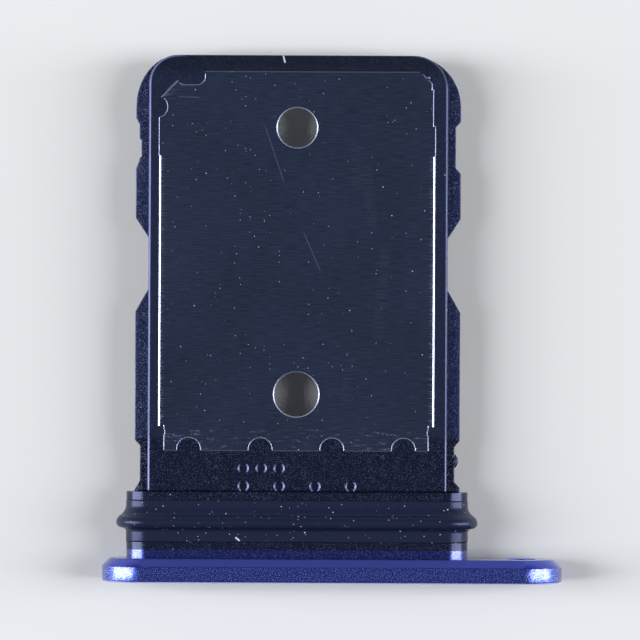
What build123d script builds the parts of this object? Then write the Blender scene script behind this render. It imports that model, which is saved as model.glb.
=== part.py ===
from build123d import *
import os
from math import sqrt

# SIM card tray, in millimetres. X runs across the tray, +Y points the way the tray is pushed in, and +Z is
# the side of the steel plate. The card pocket opens to -Z. The origin is the middle of the neck, on the face
# of the cap that seats against the device.

# Card and its fit in the pocket
card_length = 12.30
card_width = 8.80
card_thickness = 0.67
card_end_gap = 0.08
card_side_gap = 0.10
card_headroom = 0.13
pocket_corner_radius = 0.60

# Cap
flange_width = 15.13
flange_height = 2.66
flange_thickness = 0.79
flange_left_overhang = 0.80
flange_chamfer = 0.26
flange_face_radius = 0.09
eject_hole_radius = 0.50
eject_hole_chamfer = 0.06
neck_width = 11.22
neck_height = 1.36
neck_length = 0.28
tongue_width = 8.60
tongue_thickness = 0.34
tongue_length = 1.42
tongue_hole_radius = 0.32
tongue_hole_spacing = 5.00

# Collars and seal groove, along Y from the neck
rear_collar_length = 0.25
groove_length = 1.39
front_collar_length = 0.26
groove_depth = 0.28

# Seal
seal_lip_height = 0.33
seal_crest_width = 0.30
seal_crest_radius = 0.17
seal_lip_from_cap = 0.64
seal_rear_lean = 0.06
seal_front_lean = 0.19
seal_rear_radius = 0.10
seal_front_radius = 0.29
seal_band_height = 0.01

# Carrier, along Y from the front collar, and across X from the plate
root_length = 1.34
tip_wall = 0.42
side_wall = 0.29
rail_width = 0.43
body_top = 0.50
rail_height = 0.54
tip_left_radius = 0.95
tip_right_radius = 1.12
rail_left_corner = 1.37
rail_right_corner = 1.62
rail_corner_length = 1.70
top_edge_radius = 0.09
rail_edge_bevel = 0.03
tip_lead_in = 0.12
pocket_lead_in = 0.10

# Features of the rails, each from its end nearest the tip
waist_from_tip = 6.01
waist_length = 1.66
waist_front_run = 0.66
waist_rear_run = 0.76
detent_from_tip = 2.28
detent_length = 1.18
detent_depth = 0.11
detent_front_run = 0.21
detent_rear_run = 0.28
seat_from_tip = 2.81
seat_length = 0.52
seat_depth = 0.175
seat_front_run = 0.23
seat_rear_run = 0.21
ramp_depth = 0.11
ramp_length = 0.64
ramp_from_tip = 2.73
ramp_peak_share = 0.68
latch_from_tip = 2.33
latch_length = 1.34
latch_depth = 0.165
latch_front_run = 0.18
latch_rear_run = 0.20
root_cut_depth = 0.17
root_cut_front_run = 0.20
root_cut_from_pocket = 0.16
root_cut_left_end = 0.05
root_cut_left_run = 0.30
root_cut_right_end = 0.16
root_cut_right_run = 0.18
root_nub_radius = 0.30
root_nub_stand = 0.12
root_nub_from_pocket = 0.31
root_nub_bevel = 0.09

# Floor plate
plate_thickness = 0.12
plate_inset = 0.02
plate_shift = -0.04
bend_inner_radius = 0.06
bend_cover = 0.06
hole_rim_bevel = 0.035
wall_height = 0.60
side_wall_start = 0.82
side_wall_length = 8.86
wall_end_relief_radius = 0.20
wall_end_relief_bite = 0.03
root_inset = 0.08
keyed_corner = 0.95
front_wall_left = 1.54
front_wall_right = 0.59
ear_width = 0.12
left_ear_length = 1.40
right_ear_length = 1.02
right_shoulder_step = 0.07
front_right_chamfer = 0.67
front_nub_radius = 0.05
front_nub_from_corner = 0.31
front_lobe_width = 0.90
front_lobe_depth = 0.55
front_lobe_radius = 0.26
front_lobe_from_key = 0.17
side_lobe_radius = 0.34
front_hole_radius = 0.65
front_hole_from_wall = 1.96
rear_hole_radius = 0.73
rear_hole_from_root = 1.87
tail_drop = 0.36
tail_length = 1.20
anchor_count = 4
anchor_pitch = 2.35
anchor_width = 0.74
anchor_reach = 0.43
anchor_depth = 0.85

# Cavity marks on the root
mark_radius = 0.19
mark_depth = 0.035
mark_pitch = 0.588
mark_rear_from_collar = 0.195
mark_rear_columns = (-3, -1, 1, 3)
mark_front_columns = (-3, -2, -1)

# How far a cutting shape runs past what it cuts
overrun = 0.20

# Places that follow from the sizes
rear_collar_y = neck_length
groove_y = rear_collar_y + rear_collar_length
front_collar_y = groove_y + groove_length
root_y = front_collar_y + front_collar_length
pocket_y = root_y + root_length
pocket_front_y = pocket_y + card_length + 2 * card_end_gap
plate_front_y = pocket_front_y + plate_thickness
tip_y = plate_front_y + tip_wall
pocket_half_width = card_width / 2 + card_side_gap
plate_half_width = pocket_half_width + plate_thickness
body_half_width = plate_half_width + side_wall
rail_half_width = body_half_width + rail_width
plate_top = body_top - plate_inset
plate_under = plate_top - plate_thickness
frame_bottom = plate_under - card_thickness - card_headroom
rail_top = frame_bottom + rail_height
bend_outer_radius = bend_inner_radius + plate_thickness
flat_half_width = plate_half_width - bend_outer_radius
root_half_width = flat_half_width - root_inset
flange_middle_x = flange_width / 2 - neck_width / 2 - flange_left_overhang
eject_hole_x = flange_middle_x + flange_width / 2 - flange_height / 2
core_width = neck_width - 2 * groove_depth
core_height = neck_height - 2 * groove_depth
seal_end_x = neck_width / 2 - neck_height / 2


def across(y):
    """Plane that faces along +Y at a place along the tray."""
    return Plane(origin=(0, y, 0), x_dir=(1, 0, 0), z_dir=(0, 1, 0))


def level(z):
    """Plane that faces up at a height."""
    return Plane.XY.offset(z)


def repeated(places, shape):
    """One sketch of a shape at each of the places."""
    return Sketch() + [place * shape for place in places]


def hole_rims(edges):
    """Edges that close on themselves, as the rims of round holes do."""
    return edges.filter_by(lambda edge: edge.is_closed)


def round_bar(width, height, start_y, length, middle_x=0):
    """Bar along Y with full-round ends in X."""
    return extrude(across(start_y) * Pos(middle_x, 0) * SlotOverall(width, height), length)


# Cap


def flange():
    """Round-ended flange, chamfered towards the device and rounded on its outer face."""
    body = round_bar(flange_width, flange_height, -flange_thickness, flange_thickness, flange_middle_x)
    body = chamfer(body.edges().group_by(Axis.Y)[-1], flange_chamfer)
    body = fillet(body.edges().group_by(Axis.Y)[0], flange_face_radius)
    hole_place = across(-flange_thickness) * Pos(eject_hole_x, 0)
    body -= extrude(hole_place * Circle(eject_hole_radius), flange_thickness)
    return chamfer(hole_rims(body.edges().group_by(Axis.Y)[0]), eject_hole_chamfer)


def tongue():
    """Tongue of the cap, with two holes for the plastic to lock into."""
    outline = Pos(0, neck_length + tongue_length / 2) * Rectangle(tongue_width, tongue_length)
    holes = repeated(GridLocations(tongue_hole_spacing, 0, 2, 1), Circle(tongue_hole_radius))
    outline -= Pos(0, neck_length + tongue_length / 2) * holes
    return extrude(level(-tongue_thickness / 2) * outline, tongue_thickness)


def face_cap():
    """Cap with its neck and the tongue hidden in the plastic."""
    return flange() + round_bar(neck_width, neck_height, 0, neck_length) + tongue()


# Floor plate


def bent_wall(start, end):
    """Wall bent down from the plate. Its outer face runs from start to end, with the outside on the left."""
    along = Vector(*end) - Vector(*start)
    outward = Vector(0, 0, 1).cross(along).normalized()
    section_plane = Plane(origin=(start[0], start[1], plate_top), x_dir=outward, z_dir=along.normalized())
    centre = (-bend_outer_radius, -bend_outer_radius)
    section = Polyline((centre[0], 0), (centre[0], -plate_thickness)).wire()
    inner_bend = CenterArc(centre, bend_inner_radius, 90, -90)
    outer_bend = CenterArc(centre, bend_outer_radius, 90, -90)
    leg = Polyline(inner_bend @ 1, (-plate_thickness, -wall_height), (0, -wall_height), outer_bend @ 1)
    section = make_face([*section.edges(), inner_bend, *leg.edges(), outer_bend])
    return extrude(section_plane * section, along.length)


def keyed_corner_ends():
    """The two ends of the keyed corner's wall, on the lines of the side wall and the front wall."""
    side_end = (plate_shift - plate_half_width, plate_front_y - keyed_corner)
    front_end = (plate_shift - plate_half_width + keyed_corner, plate_front_y)
    return side_end, front_end


def lobe_cuts():
    """Reliefs at both ends of the keyed corner's wall and at the root ends of the side walls."""
    side_end, front_end = keyed_corner_ends()
    side_lobe = Pos(side_end[0], side_end[1] - side_lobe_radius) * Circle(side_lobe_radius)
    front_middle = Pos(front_end[0] + front_lobe_from_key, plate_front_y)
    front_lobe = front_middle * RectangleRounded(front_lobe_width, 2 * front_lobe_depth, front_lobe_radius)
    relief_x = root_half_width - wall_end_relief_bite + wall_end_relief_radius
    relief_y = pocket_y + side_wall_start - wall_end_relief_radius
    reliefs = [Pos(plate_shift + side * relief_x, relief_y) for side in (-1, 1)]
    return side_lobe + front_lobe + repeated(reliefs, Circle(wall_end_relief_radius))


def plate_outline():
    """Flat part of the plate, up to where its walls bend down."""
    wall_y = pocket_y + side_wall_start
    ear_y = wall_y + side_wall_length
    flat_length = plate_front_y - bend_outer_radius - wall_y
    outline = Pos(0, wall_y + flat_length / 2) * Rectangle(2 * flat_half_width, flat_length)
    outline += Pos(0, pocket_y + side_wall_start / 2) * Rectangle(2 * root_half_width, side_wall_start)
    ear_x = flat_half_width + ear_width / 2
    left_ear = Pos(-ear_x, ear_y + left_ear_length / 2) * Rectangle(ear_width, left_ear_length)
    right_ear = Pos(ear_x, ear_y + right_ear_length / 2) * Rectangle(ear_width, right_ear_length)
    shoulder_y = ear_y + right_ear_length
    shoulder_length = plate_front_y - front_right_chamfer - shoulder_y
    shoulder_width = ear_width - right_shoulder_step
    shoulder_middle = Pos(flat_half_width + shoulder_width / 2, shoulder_y + shoulder_length / 2)
    outline += left_ear + right_ear + shoulder_middle * Rectangle(shoulder_width, shoulder_length)
    slant = Polygon(
        (plate_half_width, plate_front_y - front_right_chamfer),
        (plate_half_width, plate_front_y),
        (plate_half_width - front_right_chamfer, plate_front_y),
        align=None,
    )
    nub_middle = Pos(plate_half_width - front_nub_from_corner, plate_front_y - front_nub_from_corner)
    return Pos(plate_shift, 0) * (outline - slant + nub_middle * Circle(front_nub_radius))


def keyed_corner_cut():
    """What the keyed corner takes off the flat plate, up to where its wall bends down."""
    side_end, front_end = keyed_corner_ends()
    reach = bend_outer_radius * sqrt(2)
    return Polygon(
        (side_end[0] - overrun, side_end[1] - reach - overrun),
        (front_end[0] + reach + overrun, front_end[1] + overrun),
        (side_end[0] - overrun, front_end[1] + overrun),
        align=None,
    )


def plate_tail():
    """Step down at the root end and the tail that the plastic holds."""
    width = 2 * root_half_width
    tail_z = plate_top - tail_drop - plate_thickness
    tail_middle = Pos(plate_shift, pocket_y - tail_length / 2)
    tail = extrude(level(tail_z) * tail_middle * Rectangle(width, tail_length), plate_thickness)
    web_middle = Pos(plate_shift, pocket_y + plate_thickness / 2)
    web = extrude(level(tail_z) * web_middle * Rectangle(width, plate_thickness), plate_top - tail_z)
    return tail + web


def anchor_slots():
    """Row of slots across the step, where the plastic flows through the plate."""
    slot_length = anchor_reach + anchor_depth
    middle_y = pocket_y + anchor_reach - slot_length / 2
    slot = Rot(0, 0, 90) * SlotOverall(slot_length, anchor_width)
    return Pos(plate_shift, middle_y) * repeated(GridLocations(anchor_pitch, 0, anchor_count, 1), slot)


def wall_lines():
    """Start and end of each wall's outer face, with the outside on the left."""
    left_x = plate_shift - plate_half_width
    right_x = plate_shift + plate_half_width
    start_y = pocket_y + side_wall_start
    end_y = start_y + side_wall_length
    left_wall = ((left_x, start_y), (left_x, end_y))
    front_wall = ((left_x + front_wall_left, plate_front_y), (right_x - front_wall_right, plate_front_y))
    right_wall = ((right_x, end_y), (right_x, start_y))
    return [left_wall, keyed_corner_ends(), front_wall, right_wall]


def bend_strip(start, end):
    """Strip of the top view where a wall's bend shows."""
    along = Vector(*end) - Vector(*start)
    inward = along.cross(Vector(0, 0, 1)).normalized()
    shown_from = inward * bend_cover
    shown_to = inward * bend_outer_radius
    outside = [Vector(*start) + shown_from, Vector(*end) + shown_from]
    inside = [Vector(*end) + shown_to, Vector(*start) + shown_to]
    return make_face(Polyline(*outside, *inside, close=True))


def flat_plate():
    """Flat part of the plate without its holes."""
    return plate_outline() - keyed_corner_cut() - lobe_cuts() - anchor_slots()


def plate_window():
    """Opening of the carrier that shows the plate, up to partway down its bends."""
    window = flat_plate()
    for start, end in wall_lines():
        window += bend_strip(start, end)
    window -= lobe_cuts()
    return extrude(level(plate_under) * window, body_top - plate_under + overrun)


def floor_plate():
    """Stamped steel plate: flat floor, bent walls, holes and anchored tail."""
    plate = extrude(level(plate_under) * (plate_outline() - keyed_corner_cut()), plate_thickness)
    for start, end in wall_lines():
        plate += bent_wall(start, end)
    plate += plate_tail()
    holes = Pos(plate_shift, plate_front_y - front_hole_from_wall) * Circle(front_hole_radius)
    holes += Pos(plate_shift, pocket_y + rear_hole_from_root) * Circle(rear_hole_radius)
    cuts = lobe_cuts() + holes + anchor_slots()
    through = level(plate_top - wall_height - overrun) * cuts
    plate -= extrude(through, wall_height + 2 * overrun)
    return chamfer(hole_rims(plate.edges().group_by(Axis.Z)[-1]), hole_rim_bevel)


# Carrier


def rail_notch(side, depth, front_y, length, front_run, rear_run):
    """Notch in one rail, with a sloped run at each end. The side is 1 for +X and -1 for -X."""
    edge = rail_half_width
    rear_y = front_y - length
    points = [
        (side * (edge + overrun), front_y + front_run),
        (side * edge, front_y + front_run),
        (side * (edge - depth), front_y),
        (side * (edge - depth), rear_y),
        (side * edge, rear_y - rear_run),
        (side * (edge + overrun), rear_y - rear_run),
    ]
    return Polygon(*points, align=None)


def rail_corner_cut(width):
    """What a quarter of an ellipse leaves off the rail's square corner at the tip, on the +X side."""
    middle = Pos(rail_half_width - width, tip_y - rail_corner_length)
    quarter = Pos(width / 2, rail_corner_length / 2) * Rectangle(width, rail_corner_length)
    return middle * (quarter - Ellipse(width, rail_corner_length))


def rail_outline():
    """Outline of the lower layer: both rails with their notches, and the rounded tip corners."""
    length = tip_y - root_y
    outline = Pos(0, root_y + length / 2) * Rectangle(2 * rail_half_width, length)
    outline -= rail_corner_cut(rail_right_corner)
    outline -= mirror(rail_corner_cut(rail_left_corner), about=Plane.YZ)
    waist_y = tip_y - waist_from_tip
    for side in (-1, 1):
        outline -= rail_notch(side, rail_width, waist_y, waist_length, waist_front_run, waist_rear_run)
    detent_y = tip_y - detent_from_tip
    outline -= rail_notch(-1, detent_depth, detent_y, detent_length, detent_front_run, detent_rear_run)
    outline -= rail_notch(-1, seat_depth, tip_y - seat_from_tip, seat_length, seat_front_run, seat_rear_run)
    latch_y = tip_y - latch_from_tip
    outline -= rail_notch(1, latch_depth, latch_y, latch_length, latch_front_run, latch_rear_run)
    cut_y = pocket_y + root_cut_from_pocket
    left_length = cut_y - root_y - root_cut_left_end - root_cut_left_run
    outline -= rail_notch(-1, root_cut_depth, cut_y, left_length, root_cut_front_run, root_cut_left_run)
    right_length = cut_y - root_y - root_cut_right_end - root_cut_right_run
    outline -= rail_notch(1, root_cut_depth, cut_y, right_length, root_cut_front_run, root_cut_right_run)
    return outline


def root_nub():
    """Round nub on the +X rail beside the root, bevelled on top."""
    nub_x = rail_half_width - root_cut_depth + root_nub_stand - root_nub_radius
    place = level(frame_bottom) * Pos(nub_x, pocket_y - root_nub_from_pocket)
    nub = extrude(place * Circle(root_nub_radius), rail_height)
    return chamfer(nub.edges().group_by(Axis.Z)[-1], root_nub_bevel)


def detent_ramp():
    """Sloping facets cut in the top edge of the detent's seat, on the -X rail."""
    edge = rail_half_width - seat_depth
    front_y = tip_y - ramp_from_tip
    peak_y = front_y - ramp_length * ramp_peak_share
    triangle = Polygon(
        (-edge, front_y),
        (-edge + ramp_depth, peak_y),
        (-edge, front_y - ramp_length),
        (-edge - overrun, front_y - ramp_length),
        (-edge - overrun, front_y),
        align=None,
    )
    return extrude(level(rail_top) * triangle, -ramp_depth, taper=45)


def body_outline():
    """Outline of the upper layer, with rounded tip corners."""
    length = tip_y - root_y
    block = Pos(0, root_y + length / 2) * Rectangle(2 * body_half_width, length)
    tip_corners = block.vertices().group_by(Axis.Y)[-1].sort_by(Axis.X)
    block = fillet(tip_corners[-1], tip_right_radius)
    return fillet(block.vertices().group_by(Axis.Y)[-1].sort_by(Axis.X)[0], tip_left_radius)


def pocket_outline():
    """Outline of the card pocket, with its keyed corner at the tip's left."""
    length = pocket_front_y - pocket_y
    width = 2 * pocket_half_width
    outline = RectangleRounded(width, length, pocket_corner_radius)
    inner_key = keyed_corner - plate_thickness * (2 - sqrt(2))
    key = Polygon(
        (-width / 2 - overrun, length / 2 - inner_key - overrun),
        (-width / 2 + inner_key + overrun, length / 2 + overrun),
        (-width / 2 - overrun, length / 2 + overrun),
        align=None,
    )
    return Pos(plate_shift, pocket_y + length / 2) * (outline - key)


def card_pocket():
    """Space for the card, open to -Z, with a lead-in round its mouth."""
    depth = plate_under - frame_bottom
    pocket = extrude(level(frame_bottom) * pocket_outline(), depth)
    mouth_bottom = level(frame_bottom) * offset(pocket_outline(), pocket_lead_in)
    mouth_top = level(frame_bottom + pocket_lead_in) * pocket_outline()
    return pocket + loft([mouth_bottom, mouth_top])


def carrier_block():
    """Upper layer and rails as one block, with soft top edges and a lead-in under the tip."""
    upper_base = rail_top - overrun
    upper = extrude(level(upper_base) * body_outline(), body_top - upper_base)
    upper = fillet(upper.edges().group_by(Axis.Z)[-1], top_edge_radius)
    rails = extrude(level(frame_bottom) * rail_outline(), rail_height)
    rails = chamfer(rails.edges().group_by(Axis.Z)[-1], rail_edge_bevel)
    lower_edges = rails.edges().group_by(Axis.Z)[0]
    tip_edges = lower_edges.filter_by(lambda edge: edge.center().Y > tip_y - rail_corner_length)
    return upper + chamfer(tip_edges, tip_lead_in) + root_nub() - detent_ramp()


def seal_seat():
    """Both collars and the core that the seal sits on."""
    rear = round_bar(neck_width, neck_height, rear_collar_y, rear_collar_length)
    core = round_bar(core_width, core_height, groove_y, groove_length)
    front = round_bar(neck_width, neck_height, front_collar_y, front_collar_length)
    return rear + core + front


def cavity_marks():
    """Shallow round marks on the root, on one grid."""
    rear_y = root_y + mark_rear_from_collar
    places = [Pos(column * mark_pitch, rear_y) for column in mark_rear_columns]
    places += [Pos(column * mark_pitch, rear_y + mark_pitch) for column in mark_front_columns]
    marks = repeated(places, Circle(mark_radius))
    return extrude(level(body_top - mark_depth) * marks, mark_depth + overrun)


def carrier_frame():
    """Moulded carrier, shaped round the plate and the cap's tongue."""
    frame = carrier_block() + seal_seat()
    frame -= card_pocket()
    frame -= plate_window()
    frame -= cavity_marks()
    return frame - floor_plate() - tongue()


# Seal


def seal_section():
    """Section of the seal: places along Y, and distances from the middle of the round end."""
    core = core_height / 2
    band = neck_height / 2 + seal_band_height
    crest = neck_height / 2 + seal_lip_height
    rear_crest_y = groove_y + seal_lip_from_cap - seal_crest_width / 2
    front_crest_y = rear_crest_y + seal_crest_width
    corners = [
        ((groove_y, core), 0),
        ((groove_y, band), 0),
        ((rear_crest_y - seal_rear_lean, band), seal_rear_radius),
        ((rear_crest_y, crest), seal_crest_radius),
        ((front_crest_y, crest), seal_crest_radius),
        ((front_crest_y + seal_front_lean, band), seal_front_radius),
        ((front_collar_y, band), 0),
        ((front_collar_y, core), 0),
    ]
    points = [point for point, radius in corners]
    return make_face(FilletPolyline(*points, radius=[radius for point, radius in corners], close=True))


def seal_ring():
    """Silicone ring: straight runs above and below the core, and half-turns round its ends."""
    section_plane = Plane(origin=(seal_end_x, 0, 0), x_dir=(0, 1, 0), z_dir=(1, 0, 0))
    section = section_plane * seal_section()
    end = revolve(section, Axis((seal_end_x, 0, 0), (0, 1, 0)), 180)
    run = extrude(section, -2 * seal_end_x)
    ring = end + mirror(end, about=Plane.YZ)
    return ring + run + mirror(run, about=Plane.XY)


def write_parts():
    """Writes each piece to its own file."""
    os.makedirs("parts", exist_ok=True)
    pieces = {
        "face_cap": face_cap(),
        "floor_plate": floor_plate(),
        "carrier_frame": carrier_frame(),
        "seal_ring": seal_ring(),
    }
    for name, piece in pieces.items():
        export_step(piece, f"parts/{name}.step")


write_parts()
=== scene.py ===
from math import cos, pi, radians, sin

import bmesh
import bpy
from mathutils import Matrix, Vector


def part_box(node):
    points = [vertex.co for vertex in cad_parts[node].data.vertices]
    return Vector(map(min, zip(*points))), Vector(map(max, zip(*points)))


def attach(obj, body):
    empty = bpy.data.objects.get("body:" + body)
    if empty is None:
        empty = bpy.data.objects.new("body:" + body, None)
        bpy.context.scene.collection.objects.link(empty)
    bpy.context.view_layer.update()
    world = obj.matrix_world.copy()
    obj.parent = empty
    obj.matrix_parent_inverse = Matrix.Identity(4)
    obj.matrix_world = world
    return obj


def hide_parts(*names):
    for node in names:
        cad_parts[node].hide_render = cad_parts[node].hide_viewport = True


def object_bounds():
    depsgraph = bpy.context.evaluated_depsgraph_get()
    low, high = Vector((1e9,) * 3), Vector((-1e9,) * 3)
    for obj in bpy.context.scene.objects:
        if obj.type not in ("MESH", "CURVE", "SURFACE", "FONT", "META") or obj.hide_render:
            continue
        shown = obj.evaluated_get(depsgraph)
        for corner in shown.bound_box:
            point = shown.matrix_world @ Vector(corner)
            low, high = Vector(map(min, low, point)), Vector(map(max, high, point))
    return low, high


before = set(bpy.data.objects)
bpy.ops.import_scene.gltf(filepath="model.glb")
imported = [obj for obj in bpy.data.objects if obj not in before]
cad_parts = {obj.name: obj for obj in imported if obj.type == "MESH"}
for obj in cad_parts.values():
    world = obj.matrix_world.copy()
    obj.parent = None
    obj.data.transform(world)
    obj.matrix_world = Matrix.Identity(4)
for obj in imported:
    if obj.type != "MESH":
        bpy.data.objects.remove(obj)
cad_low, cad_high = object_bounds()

# SIM card tray, seen from straight above its steel plate. Sizes are in millimetres, times MM for Blender.
MM = 0.001

# The photograph: its width and middle on the plate's plane, its turn, and the camera's height
PHOTO_WIDTH = 21.05
PHOTO_MIDDLE = (0.73, 7.835)
PHOTO_TURN = 0.27
CAMERA_HEIGHT = 185.0
SENSOR_WIDTH = 36.0

# Light: a tall softbox on each side, the world's strength, and the board that the tray lies on
SOFTBOX_WIDTH = 160.0
SOFTBOX_HEIGHT = 576.0
SOFTBOX_DISTANCE = 500.0
SOFTBOX_ELEVATION = 33.0
LEFT_SOFTBOX_POWER = 3.35
RIGHT_SOFTBOX_POWER = 2.75
WORLD_AT_HORIZON = 0.80
WORLD_AT_ZENITH = 0.10
WORLD_AT_SIDES = 0.80
FLOOR_HALF_WIDTH = 160.0

# Cap: flange, neck and hidden tongue
CAP_LOW, CAP_HIGH = (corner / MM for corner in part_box("face_cap"))
FLANGE_FACE_Y = CAP_LOW.y
FLANGE_WIDTH = CAP_HIGH.x - CAP_LOW.x
FLANGE_HEIGHT = CAP_HIGH.z - CAP_LOW.z
FLANGE_MIDDLE = (CAP_HIGH.x + CAP_LOW.x) / 2
FLANGE_CHAMFER = 0.26
FLANGE_FACE_RADIUS = 0.09
EJECT_HOLE_RADIUS = 0.50
EJECT_HOLE_CHAMFER = 0.06
CAP_EDGE_ROUND = 0.015
NECK_WIDTH = 11.22
NECK_HEIGHT = 1.36
NECK_LENGTH = 0.28
NECK_SUNK = 0.05
TONGUE_WIDTH = 8.60
TONGUE_LENGTH = 1.42
TONGUE_THICKNESS = 0.34
TONGUE_HOLE_RADIUS = 0.32
TONGUE_HOLE_SPACING = 5.00

# Seal: its places along Y, its distances from the middle of the round end, and its rounded corners
SEAL_LOW, SEAL_HIGH = (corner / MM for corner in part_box("seal_ring"))
SEAL_END_X = (NECK_WIDTH - NECK_HEIGHT) / 2
SEAL_GROOVE_DEPTH = 0.28
SEAL_BAND_STAND = 0.01
SEAL_CORE = NECK_HEIGHT / 2 - SEAL_GROOVE_DEPTH
SEAL_BAND = NECK_HEIGHT / 2 + SEAL_BAND_STAND
SEAL_CREST = SEAL_HIGH.z
SEAL_REAR_BAND_LENGTH = 0.49
SEAL_CREST_LENGTH = 0.30
SEAL_REAR_CREST_Y = SEAL_LOW.y + SEAL_REAR_BAND_LENGTH
SEAL_FRONT_CREST_Y = SEAL_REAR_CREST_Y + SEAL_CREST_LENGTH
SEAL_REAR_LEAN = 0.06
SEAL_FRONT_LEAN = 0.19
SEAL_BAND_ROUND = 0.05
SEAL_REAR_FOOT_ROUND = 0.10
SEAL_CREST_ROUND = 0.14
SEAL_FRONT_FOOT_ROUND = 0.22

# Carrier: its body, its rails' height, the root's front end, and the shallow round marks in the root
BODY_START = 2.18
BODY_TOP = 0.50
BODY_HALF_WIDTH = 4.92
RAIL_TOP = 0.10
ABOVE_RAILS = 0.30
ROOT_END = 3.95
MARK_RADIUS = 0.19
MARK_FLOOR_RADIUS = 0.125

# Plate: its place, its bends and rear step, its sheared rim, and where its wear lies
PLATE_LOW, PLATE_HIGH = (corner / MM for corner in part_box("floor_plate"))
PLATE_TOP = PLATE_HIGH.z
PLATE_MIDDLE = (PLATE_HIGH.x + PLATE_LOW.x) / 2
PLATE_HALF_WIDTH = (PLATE_HIGH.x - PLATE_LOW.x) / 2
BEND_REACH = 0.18
BEND_START, BEND_END = 4.34, 13.20
KEY_BEND_END = (-4.55, 15.15)
KEY_BEND_INWARD = (0.727, -0.687)
PLATE_STEP_Y = 3.52
SHEARED_RIM_WIDTH = 0.034
SHEARED_RIM_DROP = 0.014
CUT_EDGE_ANGLE = 60
BEND_COVER_SLOPE = 45
BEND_COVER_ABOVE = 0.40
ANCHOR_SCUFFS_START, ANCHOR_SCUFFS_END = 3.62, 4.15
HAIR_SCRATCHES = (
    ((-1.14, 14.31), (-0.43, 12.23)),
    ((0.14, 10.80), (0.77, 9.36)),
    ((-4.00, 15.14), (-3.22, 15.12)),
)
WIPED_SMEARS = (
    ((1.87, 13.60), (1.93, 12.00)),
    ((2.20, 13.10), (2.46, 10.60)),
    ((2.92, 10.30), (2.56, 7.10)),
    ((1.80, 7.00), (1.54, 5.00)),
)

# How finely curves are cut, how close points have to lie to be one, and when a face counts as level
END_SEGMENTS = 128
HOLE_SEGMENTS = 64
SEAL_ROUND_SEGMENTS = 8
WELD_DISTANCE = 0.0005
LEVEL_NORMAL = 0.999


def linear(code):
    """Linear colour of an sRGB hex code."""
    values = [int(code[i:i + 2], 16) / 255 for i in (0, 2, 4)]
    return [v / 12.92 if v <= 0.04045 else ((v + 0.055) / 1.055) ** 2.4 for v in values] + [1.0]


# Materials


def add(tree, kind, *inputs, **settings):
    """Adds a node, fills the sockets that it uses in their order, and gives its first output.

    An input is a value, the output that feeds the socket, or None to leave the socket as it is.
    """
    made = tree.nodes.new("ShaderNode" + kind)
    for name, value in settings.items():
        setattr(made, name, value)
    sockets = [socket for socket in made.inputs if socket.enabled]
    for socket, value in zip(sockets, inputs):
        if isinstance(value, bpy.types.NodeSocket):
            tree.links.new(value, socket)
        elif value is not None:
            socket.default_value = value
    return next(socket for socket in made.outputs if socket.enabled)


def new_material(name, constants):
    """A material with its shader's constants set, and its object coordinates in millimetres."""
    material = bpy.data.materials.new(name)
    material.use_nodes = True
    tree = material.node_tree
    shader = tree.nodes["Principled BSDF"]
    for socket, value in constants.items():
        shader.inputs[socket].default_value = value
    coordinates = add(tree, "TexCoord").node.outputs["Object"]
    place = add(tree, "VectorMath", coordinates, 1 / MM, operation="SCALE")
    return material, tree, shader, place


def dress(tree, shader, colour, height, depth):
    """Gives a shader its colour, and a relief whose height of 1 stands for a depth in millimetres."""
    tree.links.new(colour, shader.inputs["Base Color"])
    relief = add(tree, "Bump", 1.0, depth * MM, None, height)
    tree.links.new(relief, shader.inputs["Normal"])


def strongest(tree, masks):
    """The highest of several masks at each point."""
    highest = masks[0]
    for mask in masks[1:]:
        highest = add(tree, "Math", highest, mask, operation="MAXIMUM")
    return highest


def within(tree, value, low, high, blur):
    """Mask that is 1 between two limits and fades to 0 outside them."""
    rise = add(tree, "MapRange", value, low - blur, low, interpolation_type="SMOOTHSTEP")
    fall = add(tree, "MapRange", value, high + blur, high, interpolation_type="SMOOTHSTEP")
    return add(tree, "Math", rise, fall, operation="MULTIPLY")


def dust(tree, place, spacing, size, share):
    """Mask of round specks, strong and weak: one in each cell of the spacing, kept in a share of them."""
    distance = add(tree, "TexVoronoi", place, 1 / spacing)
    cell = add(tree, "SeparateXYZ", distance.node.outputs["Color"])
    edge = size / spacing
    near = add(tree, "MapRange", distance, edge, 0.4 * edge, interpolation_type="SMOOTHSTEP")
    kept = add(tree, "MapRange", cell, share, 0.4 * share)
    return add(tree, "Math", near, kept, operation="MULTIPLY")


def scratch(tree, place, start, end, width):
    """Mask of a straight scratch between two places, fading at its ends."""
    along = Vector((end[0] - start[0], end[1] - start[1], 0))
    beside = Vector((-along.y, along.x, 0)).normalized()
    from_start = add(tree, "VectorMath", place, (*start, 0), operation="SUBTRACT")
    offset = add(tree, "VectorMath", from_start, beside, operation="DOT_PRODUCT")
    travel = add(tree, "VectorMath", from_start, along / along.length_squared, operation="DOT_PRODUCT")
    on_line = within(tree, offset, -0.2 * width, 0.2 * width, 0.6 * width)
    on_run = within(tree, travel, 0.15, 0.85, 0.15)
    return add(tree, "Math", on_line, on_run, operation="MULTIPLY")


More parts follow.
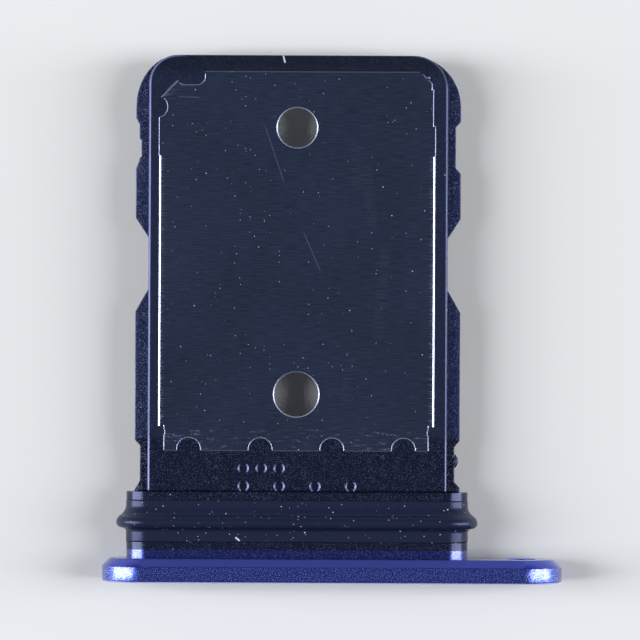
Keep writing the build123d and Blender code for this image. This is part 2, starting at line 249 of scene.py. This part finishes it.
def anodised_aluminium():
    # Bead-blasted, then anodised blue: a metal whose fine pits glitter, their glints painted into the colour
    # as pale flecks, fewer on the neck, where its ground is darker, smooth and paler on its chamfer, with a
    # thin pale line painted round its outer face, a painted highlight of its rounded edge, under a clear
    # oxide that whitens what it mirrors. The pits are drawn at 0.035 mm, coarser than real ones, to show.
    constants = {"Metallic": 1.0, "Coat Weight": 0.9, "Coat Roughness": 0.18, "Coat IOR": 1.65}
    material, tree, shader, place = new_material("anodised_aluminium", constants)
    pits = add(tree, "TexNoise", place, 1 / 0.035, 1.0)
    along = add(tree, "SeparateXYZ", place).node.outputs["Y"]
    chamfer = within(tree, along, 0.005 - FLANGE_CHAMFER, -0.015, 0.015)
    blasted = add(tree, "Math", 1.0, chamfer, operation="SUBTRACT")
    outer = add(tree, "MapRange", along, 0.02, -0.02)
    share = add(tree, "MapRange", outer, 0.0, 1.0, 0.3, 1.0)
    # Glints of the pits, painted into the colour as pale flecks: a painted highlight
    glints = add(tree, "MapRange", pits, 0.48, 0.68, interpolation_type="SMOOTHSTEP")
    glints = add(tree, "Math", glints, share, operation="MULTIPLY")
    ground = add(tree, "Mix", outer, linear("19297f"), linear("2439a6"), data_type="RGBA")
    with_painted_glints = add(tree, "Mix", glints, ground, linear("93a4f0"), data_type="RGBA")
    chamfered = add(tree, "Mix", chamfer, with_painted_glints, linear("263cb8"), data_type="RGBA")
    # A thin pale line painted round the outer face: a painted highlight of its rounded edge
    rim = within(tree, along, FLANGE_FACE_Y + 0.008, FLANGE_FACE_Y + 0.045, 0.008)
    colour = add(tree, "Mix", rim, chamfered, linear("b4c0ff"), data_type="RGBA")
    roughness = add(tree, "MapRange", blasted, 0.0, 1.0, 0.28, 0.34)
    tree.links.new(roughness, shader.inputs["Roughness"])
    dress(tree, shader, colour, add(tree, "Math", pits, blasted, operation="MULTIPLY"), 0.003)
    return material


def spark_eroded_plastic():
    # Moulded in a spark-eroded tool: dark and matt, with a grit whose glints are painted in pale specks,
    # shown most on the low rails and the root, and more on the left rail than the right as painted light,
    # and with painted shade on the tip. A pale line painted along the rounded side edges, strongest on the
    # left, is a painted highlight, and so are the pale crescents painted on the marks' smooth walls where
    # they face the sides. The grit is drawn at 0.03 mm, as coarse as it needs to show.
    constants = {"Roughness": 0.25, "IOR": 1.50, "Specular Tint": linear("c6cfff")}
    material, tree, shader, place = new_material("spark_eroded_plastic", constants)
    grit = add(tree, "TexNoise", place, 1 / 0.03, 2.0, 0.7)
    patches = add(tree, "TexNoise", place, 1 / 0.30, 2.0)
    axes = add(tree, "SeparateXYZ", place).node.outputs
    on_rails = add(tree, "MapRange", axes["Z"], ABOVE_RAILS, RAIL_TOP)
    on_root = add(tree, "MapRange", axes["Y"], ROOT_END + 0.1, ROOT_END - 0.1)
    on_tip = add(tree, "MapRange", axes["Y"], PLATE_HIGH.y - 0.40, PLATE_HIGH.y + 0.10, 0.0, 0.6)
    # More painted glints on the left rail than the right: painted light from the stronger left lamp
    rail_left_light = add(tree, "MapRange", axes["X"], -BODY_HALF_WIDTH, BODY_HALF_WIDTH, 1.0, 0.7)
    rail_grit = add(tree, "Math", on_rails, rail_left_light, operation="MULTIPLY")
    above_marks = add(tree, "MapRange", axes["Z"], BODY_TOP - 0.03, BODY_TOP - 0.01, 0.0, 0.25)
    root_grit = add(tree, "Math", on_root, above_marks, operation="MULTIPLY")
    glint_share = strongest(tree, [rail_grit, root_grit, 0.10])
    # The grit's glints, painted into the colour as pale specks: a painted highlight
    specks = add(tree, "MapRange", grit, 0.55, 0.70, interpolation_type="SMOOTHSTEP")
    patchy = add(tree, "MapRange", patches, 0.35, 0.65, 0.5, 1.0)
    shown = add(tree, "Math", specks, patchy, operation="MULTIPLY")
    shown = add(tree, "Math", shown, glint_share, operation="MULTIPLY")
    body = add(tree, "Mix", on_rails, linear("191f30"), linear("1b2443"), data_type="RGBA")
    # Painted shade: darker on the tip
    tip_shaded = add(tree, "Mix", on_tip, body, linear("0b0f18"), data_type="RGBA")
    ground = add(tree, "Mix", on_root, tip_shaded, linear("0a0f20"), data_type="RGBA")
    with_painted_glints = add(tree, "Mix", shown, ground, linear("a3acd0"), data_type="RGBA")

    from_middle = add(tree, "Math", axes["X"], operation="ABSOLUTE")
    at_left = add(tree, "MapRange", axes["X"], BODY_HALF_WIDTH, -BODY_HALF_WIDTH, 0.3, 1.0)
    at_side = add(tree, "MapRange", from_middle, BODY_HALF_WIDTH - 0.14, BODY_HALF_WIDTH - 0.10)
    past_plate = add(tree, "MapRange", axes["Y"], PLATE_HIGH.y - 0.8, PLATE_HIGH.y - 0.6)
    at_corner = add(tree, "MapRange", from_middle, BODY_HALF_WIDTH - 1.3, BODY_HALF_WIDTH - 0.9)
    corner = add(tree, "Math", past_plate, at_corner, operation="MULTIPLY")
    rounded = within(tree, axes["Z"], BODY_TOP - 0.07, BODY_TOP - 0.010, 0.006)
    on_edge = add(tree, "Math", strongest(tree, [at_side, corner]), rounded, operation="MULTIPLY")
    on_edge = add(tree, "Math", on_edge, at_left, operation="MULTIPLY")
    ahead = add(tree, "MapRange", axes["Y"], BODY_START + 0.06, BODY_START + 0.08)
    on_edge = add(tree, "Math", on_edge, ahead, operation="MULTIPLY")
    # A pale line painted along the rounded side edges and the tip's corners, strongest on the left: a
    # painted highlight
    edge_highlighted = add(tree, "Mix", on_edge, with_painted_glints, linear("60668c"), data_type="RGBA")

    # Pale crescents painted on the marks' walls that face the sides: a painted highlight
    in_mark = within(tree, axes["Z"], BODY_TOP - 0.030, BODY_TOP - 0.005, 0.003)
    faces = add(tree, "SeparateXYZ", add(tree, "NewGeometry").node.outputs["True Normal"])
    faces_left = add(tree, "MapRange", faces, -0.24, -0.42)
    faces_right = add(tree, "MapRange", faces, 0.28, 0.44, 0.0, 0.6)
    crescents = strongest(tree, [faces_left, faces_right])
    for mask in (on_root, ahead, in_mark):
        crescents = add(tree, "Math", crescents, mask, operation="MULTIPLY")
    with_painted_crescents = add(tree, "Mix", crescents, edge_highlighted, linear("8389af"), data_type="RGBA")
    on_top = add(tree, "MapRange", axes["Z"], BODY_TOP - 0.20, BODY_TOP - 0.10)
    tip_scratch = scratch(tree, place, (-0.52, 16.53), (-0.45, 16.25), 0.045)
    tip_scratch = add(tree, "Math", tip_scratch, on_top, operation="MULTIPLY")
    marks = strongest(tree, [tip_scratch, dust(tree, place, 0.60, 0.032, 0.30)])
    colour = add(tree, "Mix", marks, with_painted_crescents, linear("c9cedd"), data_type="RGBA")
    dress(tree, shader, colour, grit, 0.0015)
    return material


def brushed_steel():
    # Dark-coated strip, brushed across before it was pressed: fine lines from side to side, drawn 0.03 mm
    # apart to show, a pale colour painted along its bends and in ragged streaks beside the side bends and
    # the keyed corner as a painted highlight, hair scratches, faint smears where it was wiped, and dust,
    # some of it caught in the scuffs by the anchors
    material, tree, shader, place = new_material("brushed_steel", {"Roughness": 0.28})
    axes = add(tree, "SeparateXYZ", place).node.outputs
    drawn_out = add(tree, "VectorMath", place, (1 / 0.5, 1 / 0.03, 1 / 0.5), operation="MULTIPLY")
    lines = add(tree, "TexNoise", drawn_out, 1.0, 2.0)
    clouds = add(tree, "MapRange", add(tree, "TexNoise", place, 1 / 4.0, 1.0), 0.0, 1.0, -0.2, 0.2)
    tone = add(tree, "MapRange", add(tree, "Math", lines, clouds, operation="ADD"), 0.3, 0.7)
    coat = add(tree, "Mix", tone, linear("4d5a78"), linear("647396"), data_type="RGBA")

    offset = add(tree, "Math", axes["X"], PLATE_MIDDLE, operation="SUBTRACT")
    from_middle = add(tree, "Math", offset, operation="ABSOLUTE")
    bend_foot = PLATE_HALF_WIDTH - BEND_REACH
    in_bend = within(tree, axes["Z"], PLATE_TOP - 0.08, PLATE_TOP - 0.006, 0.004)
    at_side = add(tree, "MapRange", from_middle, bend_foot - 0.02, bend_foot, 0.8, 1.0)
    bent = add(tree, "Math", in_bend, at_side, operation="MULTIPLY")
    streaks = add(tree, "MapRange", lines, 0.50, 0.66, interpolation_type="SMOOTHSTEP")
    beside_bend = add(tree, "MapRange", from_middle, bend_foot - 0.12, bend_foot)
    on_run = within(tree, axes["Y"], BEND_START, BEND_END, 0.05)
    beside_bend = add(tree, "Math", beside_bend, on_run, operation="MULTIPLY")
    from_key = add(tree, "VectorMath", place, (*KEY_BEND_END, 0), operation="SUBTRACT")
    inward = add(tree, "VectorMath", from_key, (*KEY_BEND_INWARD, 0), operation="DOT_PRODUCT")
    beside_key = add(tree, "MapRange", inward, 0.40, 0.10, 0.0, 0.6)
    painted_streaks = add(tree, "Math", strongest(tree, [beside_bend, beside_key]), streaks, operation="MULTIPLY")
    # Pale colour painted along the bends and in streaks beside them: a painted highlight
    bend_highlighted = add(tree, "Mix", strongest(tree, [bent, painted_streaks]), coat, linear("c8cfe0"), data_type="RGBA")

    scuff_grain = add(tree, "VectorMath", place, (1 / 0.35, 1 / 0.05, 1 / 0.35), operation="MULTIPLY")
    on_top = add(tree, "MapRange", axes["Z"], PLATE_TOP - 0.05, PLATE_TOP - 0.02, 0.0, 0.4)
    scratches = strongest(tree, [scratch(tree, place, start, end, 0.03) for start, end in HAIR_SCRATCHES])
    smears = strongest(tree, [scratch(tree, place, start, end, 0.32) for start, end in WIPED_SMEARS])
    broken = add(tree, "MapRange", lines, 0.35, 0.65, 0.0, 0.16)
    worn = strongest(tree, [scratches, add(tree, "Math", smears, broken, operation="MULTIPLY")])
    faint = add(tree, "Math", worn, on_top, operation="MULTIPLY")
    worn_coat = add(tree, "Mix", faint, bend_highlighted, linear("cbd5fa"), data_type="RGBA")

    scuffs = add(tree, "MapRange", add(tree, "TexNoise", scuff_grain, 1.0, 1.0), 0.60, 0.68)
    dots = add(tree, "MapRange", add(tree, "TexNoise", place, 1 / 0.04, 1.0), 0.45, 0.60)
    by_anchors = within(tree, axes["Y"], ANCHOR_SCUFFS_START, ANCHOR_SCUFFS_END, 0.15)
    caught = on_top
    for mask in (scuffs, dots, by_anchors):
        caught = add(tree, "Math", caught, mask, operation="MULTIPLY")
    settled = strongest(tree, [
        dust(tree, place, 0.34, 0.026, 0.40),
        dust(tree, place, 0.16, 0.019, 0.50),
        caught,
    ])
    colour = add(tree, "Mix", settled, worn_coat, linear("b4bcd8"), data_type="RGBA")
    bare = add(tree, "MapRange", settled, 0.0, 1.0, 1.0, 0.0)
    tree.links.new(bare, shader.inputs["Metallic"])
    dress(tree, shader, colour, lines, 0.0006)
    return material


def sheared_steel():
    # The plate's cut edges, where the press broke the coat: bare steel, pale and torn, its paleness partly a
    # painted highlight of the cut edges, and darker where the plate steps down into the plastic
    material, tree, shader, place = new_material("sheared_steel", {"Metallic": 1.0, "Roughness": 0.45})
    tears = add(tree, "TexNoise", place, 1 / 0.08, 2.0)
    # Pale bare steel, partly a painted highlight of the cut edges
    torn_and_highlight = add(tree, "Mix", tears, linear("8d96b8"), linear("f0f4ff"), data_type="RGBA")
    along = add(tree, "SeparateXYZ", place).node.outputs["Y"]
    at_step = add(tree, "MapRange", along, PLATE_STEP_Y + 0.05, PLATE_STEP_Y + 0.04, 0.0, 0.6)
    colour = add(tree, "Mix", at_step, torn_and_highlight, linear("50597a"), data_type="RGBA")
    dress(tree, shader, colour, tears, 0.006)
    return material


def moulded_silicone():
    # Silicone from a polished tool: dark, smooth, softly shining, with dust that clings and one pale nick
    constants = {"Roughness": 0.32, "IOR": 1.48, "Specular Tint": linear("c6cfff")}
    material, tree, shader, place = new_material("moulded_silicone", constants)
    clouds = add(tree, "TexNoise", place, 1 / 1.5, 2.0)
    patchy = add(tree, "MapRange", clouds, 0.36, 0.56)
    clinging = strongest(tree, [dust(tree, place, 0.26, 0.030, 0.50), dust(tree, place, 0.13, 0.022, 0.45)])
    marks = strongest(tree, [
        add(tree, "Math", clinging, patchy, operation="MULTIPLY"),
        scratch(tree, place, (-2.02, 0.71), (-1.86, 0.58), 0.05),
    ])
    colour = add(tree, "Mix", marks, linear("181e31"), linear("ccd0de"), data_type="RGBA")
    dress(tree, shader, colour, add(tree, "TexNoise", place, 1 / 0.12, 1.0), 0.001)
    return material


# Shapes


def new_piece(name, shape, materials, node, crisp=35):
    """Makes a finished shape a piece that stands for a solid, with edges crisp above an angle in degrees."""
    bmesh.ops.remove_doubles(shape, verts=shape.verts, dist=WELD_DISTANCE * MM)
    bmesh.ops.recalc_face_normals(shape, faces=shape.faces)
    for edge in shape.edges:
        edge.smooth = len(edge.link_faces) == 2 and edge.calc_face_angle() < radians(crisp)
    for face in shape.faces:
        face.smooth = True
    mesh = bpy.data.meshes.new(name)
    shape.to_mesh(mesh)
    shape.free()
    for material in materials:
        mesh.materials.append(material)
    piece = bpy.data.objects.new(name, mesh)
    bpy.context.scene.collection.objects.link(piece)
    normals = piece.modifiers.new("flat faces stay flat", "WEIGHTED_NORMAL")
    normals.keep_sharp = True
    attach(piece, "root")
    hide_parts(node)


def soften(shape, edges, radius, segments=2):
    """Rounds edges, or chamfers them with one segment, and returns the new faces."""
    return bmesh.ops.bevel(
        shape,
        geom=edges,
        offset=radius * MM,
        offset_type="OFFSET",
        segments=segments,
        profile=0.5,
        affect="EDGES",
        clamp_overlap=True,
        material=-1,
    )["faces"]


def outward_edges(shape, least):
    """Edges where two faces meet outwards by more than an angle in degrees."""
    edges = [edge for edge in shape.edges if len(edge.link_faces) == 2 and edge.is_convex]
    return [edge for edge in edges if edge.calc_face_angle() > radians(least)]


def ring(shape, width, height, middle_x, y, segments):
    """Edges of a round-ended outline across Y: a circle whose halves are drawn apart."""
    verts = bmesh.ops.create_circle(shape, radius=height / 2 * MM, segments=segments)["verts"]
    half_step = Matrix.Rotation(radians(180 / segments), 3, "Z")
    bmesh.ops.rotate(shape, verts=verts, matrix=half_step)
    for vert in verts:
        side = 1 if vert.co.x > 0 else -1
        vert.co.x += side * (width - height) / 2 * MM
    bmesh.ops.rotate(shape, verts=verts, matrix=Matrix.Rotation(radians(90), 3, "X"))
    bmesh.ops.translate(shape, verts=verts, vec=(middle_x * MM, y * MM, 0))
    return list({edge for vert in verts for edge in vert.link_edges})


def bar(shape, outlines, length, direction=(0, 1, 0)):
    """Fills outlines, with the inner ones as holes, and draws the face out into a solid."""
    filled = bmesh.ops.triangle_fill(shape, use_beauty=True, use_dissolve=True, edges=outlines)["geom"]
    faces = [item for item in filled if isinstance(item, bmesh.types.BMFace)]
    drawn = bmesh.ops.extrude_face_region(shape, geom=faces)["geom"]
    verts = [item for item in drawn if isinstance(item, bmesh.types.BMVert)]
    bmesh.ops.translate(shape, verts=verts, vec=Vector(direction) * length * MM)


def edges_across(shape, y, keep=lambda middle: True):
    """Edges that lie wholly at a place along Y."""
    lying = [edge for edge in shape.edges if all(abs(vert.co.y - y * MM) < 1e-9 for vert in edge.verts)]
    outline = [edge for edge in lying if edge.calc_face_angle(0) > radians(45)]
    return [edge for edge in outline if keep((edge.verts[0].co + edge.verts[1].co) / 2 / MM)]


def tongue_outline(shape):
    """Edges of the tongue's lower face and of its two holes."""
    middle = Vector((0, NECK_LENGTH + TONGUE_LENGTH / 2, -TONGUE_THICKNESS / 2))
    half = (TONGUE_WIDTH / 2, TONGUE_LENGTH / 2)
    signs = ((-1, -1), (1, -1), (1, 1), (-1, 1))
    corners = [middle + Vector((right * half[0], ahead * half[1], 0)) for right, ahead in signs]
    verts = [shape.verts.new(corner * MM) for corner in corners]
    edges = [shape.edges.new(ends) for ends in zip(verts, verts[1:] + verts[:1])]
    for side in (-1, 1):
        hole_middle = middle + Vector((side * TONGUE_HOLE_SPACING / 2, 0, 0))
        circle = bmesh.ops.create_circle(
            shape,
            radius=TONGUE_HOLE_RADIUS * MM,
            segments=HOLE_SEGMENTS,
            matrix=Matrix.Translation(hole_middle * MM),
        )["verts"]
        edges += list({edge for vert in circle for edge in vert.link_edges})
    return edges


def cap_shell(material):
    """Flange with its eject hole, neck, and the tongue inside the plastic."""
    shape = bmesh.new()
    hole_x = CAP_HIGH.x - FLANGE_HEIGHT / 2
    outer = ring(shape, FLANGE_WIDTH, FLANGE_HEIGHT, FLANGE_MIDDLE, FLANGE_FACE_Y, END_SEGMENTS)
    diameter = 2 * EJECT_HOLE_RADIUS
    hole = ring(shape, diameter, diameter, hole_x, FLANGE_FACE_Y, HOLE_SEGMENTS)
    bar(shape, outer + hole, -FLANGE_FACE_Y)
    bmesh.ops.recalc_face_normals(shape, faces=shape.faces)

    def in_hole(middle):
        return (Vector((middle.x, middle.z)) - Vector((hole_x, 0))).length < EJECT_HOLE_RADIUS + 0.01

    soften(shape, edges_across(shape, 0, lambda m: not in_hole(m)), FLANGE_CHAMFER, 1)
    soften(shape, edges_across(shape, FLANGE_FACE_Y, lambda m: not in_hole(m)), FLANGE_FACE_RADIUS, 4)
    soften(shape, edges_across(shape, FLANGE_FACE_Y, in_hole), EJECT_HOLE_CHAMFER, 1)
    soften(shape, outward_edges(shape, 30), CAP_EDGE_ROUND)

    neck = ring(shape, NECK_WIDTH, NECK_HEIGHT, 0, -NECK_SUNK, END_SEGMENTS)
    bar(shape, neck, NECK_LENGTH + NECK_SUNK)
    bar(shape, tongue_outline(shape), TONGUE_THICKNESS, (0, 0, 1))
    new_piece("cap_shell", shape, [material], "face_cap")


def seal_sleeve(material):
    """Seal: its section turned round one end, drawn along, turned round the other and drawn back."""
    shape = bmesh.new()
    corners = [
        (SEAL_LOW.y, SEAL_CORE, 0),
        (SEAL_LOW.y, SEAL_BAND, SEAL_BAND_ROUND),
        (SEAL_REAR_CREST_Y - SEAL_REAR_LEAN, SEAL_BAND, SEAL_REAR_FOOT_ROUND),
        (SEAL_REAR_CREST_Y, SEAL_CREST, SEAL_CREST_ROUND),
        (SEAL_FRONT_CREST_Y, SEAL_CREST, SEAL_CREST_ROUND),
        (SEAL_FRONT_CREST_Y + SEAL_FRONT_LEAN, SEAL_BAND, SEAL_FRONT_FOOT_ROUND),
        (SEAL_HIGH.y, SEAL_BAND, SEAL_BAND_ROUND),
        (SEAL_HIGH.y, SEAL_CORE, 0),
    ]
    verts = [shape.verts.new(Vector((SEAL_END_X, y, z)) * MM) for y, z, radius in corners]
    shape.faces.new(verts)
    for vert, (y, z, radius) in zip(verts, corners):
        if radius:
            bmesh.ops.bevel(
                shape,
                geom=[vert],
                offset=radius * MM,
                offset_type="OFFSET",
                segments=SEAL_ROUND_SEGMENTS,
                profile=0.5,
                affect="VERTICES",
                clamp_overlap=True,
                material=-1,
            )
    bmesh.ops.delete(shape, geom=shape.faces[:], context="FACES_ONLY")
    section = shape.edges[:] + shape.verts[:]
    for side in (1, -1):
        turned = bmesh.ops.spin(
            shape,
            geom=section,
            cent=(side * SEAL_END_X * MM, 0, 0),
            axis=(0, 1, 0),
            angle=radians(180),
            steps=END_SEGMENTS // 2,
        )["geom_last"]
        edges = [item for item in turned if isinstance(item, bmesh.types.BMEdge)]
        section = bmesh.ops.extrude_edge_only(shape, edges=edges)["geom"]
        run = [item for item in section if isinstance(item, bmesh.types.BMVert)]
        bmesh.ops.translate(shape, verts=run, vec=(-2 * side * SEAL_END_X * MM, 0, 0))
        section = [item for item in section if not isinstance(item, bmesh.types.BMFace)]
    new_piece("seal_sleeve", shape, [material], "seal_ring")


def merged_copy(node):
    """A solid's mesh with its loose triangles joined into whole faces."""
    shape = bmesh.new()
    shape.from_mesh(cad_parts[node].data)
    bmesh.ops.remove_doubles(shape, verts=shape.verts, dist=WELD_DISTANCE * MM)
    bmesh.ops.dissolve_limit(
        shape,
        angle_limit=radians(0.5),
        verts=shape.verts,
        edges=shape.edges,
    )
    return shape


def dish(shape, radius, floor_radius):
    """Draws in the floors of round marks of one radius, so that their walls slope."""
    for face in shape.faces:
        level = face.normal.z > LEVEL_NORMAL
        if level and abs(face.calc_area() / MM ** 2 - pi * radius ** 2) < 0.1 * radius ** 2:
            middle = face.calc_center_median()
            for vert in face.verts:
                vert.co = middle + (vert.co - middle) * floor_radius / radius


def carrier_moulding(material):
    """Plastic frame with its round marks dished."""
    shape = merged_copy("carrier_frame")
    dish(shape, MARK_RADIUS, MARK_FLOOR_RADIUS)
    new_piece("carrier_moulding", shape, [material], "carrier_frame", crisp=25)


def plate_pressing(coated, sheared):
    """Steel plate whose flat is drawn down into a narrow sheared rim where it was cut, not at its bends."""
    shape = merged_copy("floor_plate")
    level = [face for face in shape.faces if face.normal.z > LEVEL_NORMAL]
    flat = [face for face in level if face.calc_center_median().z > (PLATE_TOP - 0.001) * MM]
    outline = {edge for face in flat for edge in face.edges if edge.calc_face_angle(0) > radians(2)}
    cut_edges = {edge for edge in outline if edge.calc_face_angle() > radians(CUT_EDGE_ANGLE)}
    whole = {vert for edge in outline - cut_edges for vert in edge.verts}
    cut = {vert for edge in cut_edges for vert in edge.verts} - whole
    inner = {vert for face in flat for vert in face.verts}
    rim = bmesh.ops.inset_region(
        shape,
        faces=flat,
        thickness=SHEARED_RIM_WIDTH * MM,
        use_boundary=True,
        use_even_offset=True,
    )["faces"]
    drawn = {edge.other_vert(vert) for vert in cut for edge in vert.link_edges} - inner
    for vert in drawn:
        vert.co.z -= SHEARED_RIM_DROP * MM
    for face in rim:
        if len(drawn & set(face.verts)) == 2:
            face.material_index = 1
    for face in shape.faces:
        bend_cover = abs(face.normal.z - cos(radians(BEND_COVER_SLOPE))) < 0.02
        if bend_cover and face.calc_center_median().z > BEND_COVER_ABOVE * MM:
            face.material_index = 1
    new_piece("plate_pressing", shape, [coated, sheared], "floor_plate", crisp=12)


# Stage


def photo_camera():
    data = bpy.data.cameras.new("photo_camera")
    data.sensor_width = SENSOR_WIDTH
    data.lens = SENSOR_WIDTH * CAMERA_HEIGHT / PHOTO_WIDTH
    data.clip_start = 0.01
    data.clip_end = 10.0
    camera = bpy.data.objects.new("photo_camera", data)
    camera.location = (PHOTO_MIDDLE[0] * MM, PHOTO_MIDDLE[1] * MM, CAMERA_HEIGHT * MM)
    camera.rotation_euler = (0, 0, radians(PHOTO_TURN))
    bpy.context.scene.collection.objects.link(camera)
    bpy.context.scene.camera = camera


def softbox(name, side, power):
    """Tall lamp on one side of the tray: it shines on what faces that side, and leaves the zenith dark."""
    data = bpy.data.lights.new(name, "AREA")
    data.shape = "RECTANGLE"
    data.size = SOFTBOX_WIDTH * MM
    data.size_y = SOFTBOX_HEIGHT * MM
    data.energy = power
    data.color = linear("eef2ff")[:3]
    lamp = bpy.data.objects.new(name, data)
    target = Vector((0, PHOTO_MIDDLE[1], 0))
    level = radians(SOFTBOX_ELEVATION)
    away = Vector((side * cos(level), 0, sin(level))) * SOFTBOX_DISTANCE
    lamp.location = (target + away) * MM
    lamp.rotation_euler = (-away).to_track_quat("-Z", "Y").to_euler()
    lamp.visible_camera = False
    bpy.context.scene.collection.objects.link(lamp)


def pale_world():
    """Dim light from above, more from the sides, and a pale horizon for what is mirrored low down."""
    world = bpy.data.worlds.new("pale_world")
    bpy.context.scene.world = world
    world.use_nodes = True
    tree = world.node_tree
    background = tree.nodes["Background"]
    background.inputs["Color"].default_value = linear("e6e9f2")
    axes = add(tree, "SeparateXYZ", add(tree, "TexCoord")).node.outputs
    below_zenith = add(tree, "MapRange", axes["Z"], 0.0, 1.0, 1.0, 0.0)
    falling = add(tree, "Math", below_zenith, 4.0, operation="POWER")
    from_above = add(tree, "MapRange", falling, 0.0, 1.0, WORLD_AT_ZENITH, WORLD_AT_HORIZON)
    sideways = add(tree, "Math", axes["X"], operation="ABSOLUTE")
    from_sides = add(tree, "MapRange", sideways, 0.3, 1.0, 0.0, WORLD_AT_SIDES)
    strength = add(tree, "Math", from_above, from_sides, operation="MAXIMUM")
    tree.links.new(strength, background.inputs["Strength"])


def pale_floor():
    mesh = bpy.data.meshes.new("floor")
    shape = bmesh.new()
    bmesh.ops.create_grid(shape, x_segments=1, y_segments=1, size=FLOOR_HALF_WIDTH * MM)
    bmesh.ops.translate(shape, verts=shape.verts, vec=(0, 0, cad_low.z))
    shape.to_mesh(mesh)
    shape.free()
    floor = bpy.data.objects.new("floor", mesh)
    bpy.context.scene.collection.objects.link(floor)
    # Board with a dead matt paint, which mirrors nothing even at a low angle
    constants = {"Base Color": linear("dddbd4"), "Roughness": 0.9, "Specular IOR Level": 0.0}
    material = new_material("painted_board", constants)[0]
    mesh.materials.append(material)


photo_camera()
pale_world()
pale_floor()
softbox("left_softbox", -1, LEFT_SOFTBOX_POWER)
softbox("right_softbox", 1, RIGHT_SOFTBOX_POWER)

cap_shell(anodised_aluminium())
carrier_moulding(spark_eroded_plastic())
plate_pressing(brushed_steel(), sheared_steel())
seal_sleeve(moulded_silicone())

bpy.context.scene.view_settings.view_transform = "Standard"
